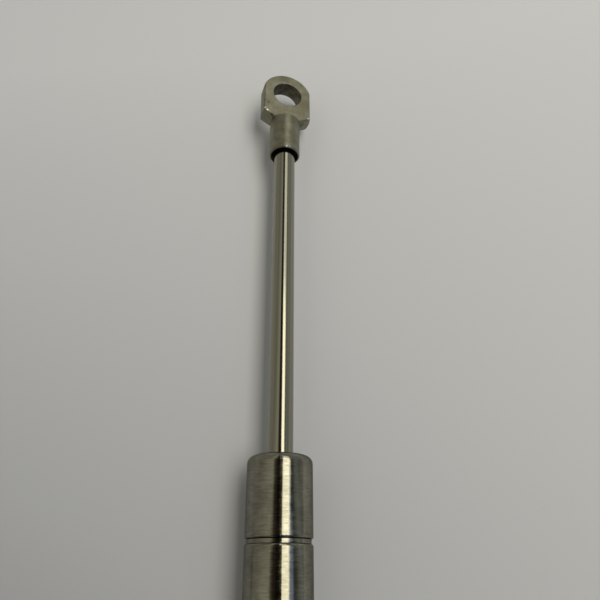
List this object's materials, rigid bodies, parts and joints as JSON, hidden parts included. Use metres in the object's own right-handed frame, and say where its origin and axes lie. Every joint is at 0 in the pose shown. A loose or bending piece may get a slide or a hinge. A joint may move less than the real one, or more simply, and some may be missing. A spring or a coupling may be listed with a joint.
{
  "type": "gas spring",
  "caption": "Slim gas spring with its rod out: a polished rod slides in a grooved steel tube, with a flat bored eye screwed on at each end.",
  "frame": {"origin": "centre of the tube eye's pin bore, on the spring's axis", "axes": "+Z along the tube eye's pin bore, +Y along the spring from the tube eye to the rod eye, +X to the right"},
  "size_m": [0.015, 0.265, 0.015],
  "materials": {
    "tube_steel": "drawn stainless steel, polished along the tube",
    "rod_steel": "ground and polished stainless steel",
    "eye_steel": "machined stainless steel, satin",
    "plug_steel": "turned stainless steel",
    "inner_steel": "turned or stamped steel, oiled",
    "guide_plastic": "moulded black plastic",
    "piston_plastic": "moulded pale plastic",
    "seal_rubber": "moulded black rubber"
  },
  "bodies": {
    "cylinder": {"pressure_tube": "tube_steel", "end_plug": "plug_steel", "plug_o_ring": "seal_rubber", "stop_sleeve": "inner_steel", "support_washer": "inner_steel", "rod_seal": "seal_rubber", "guide_washer": "inner_steel", "rod_guide": "guide_plastic", "wiper_ring": "seal_rubber", "tube_eye": "eye_steel"},
    "sliding_ring": {"piston_ring": "seal_rubber"},
    "rod": {"piston_rod": "rod_steel", "piston_top_washer": "inner_steel", "piston_body": "piston_plastic", "valve_disc": "inner_steel", "piston_end_washer": "inner_steel", "rod_eye": "eye_steel"}
  },
  "joints": [
    {"name": "rod_slide", "type": "slide", "parent": "cylinder", "child": "sliding_ring", "axis": [0, -1, 0], "range_m": [0, 0.08], "stiffness_N_per_m": 187.5, "springref_m": -0.2667},
    {"name": "rod_turn", "type": "hinge", "parent": "sliding_ring", "child": "rod", "pos_m": [0, 0.1182, 0], "axis": [0, 1, 0], "continuous": true}
  ]
}
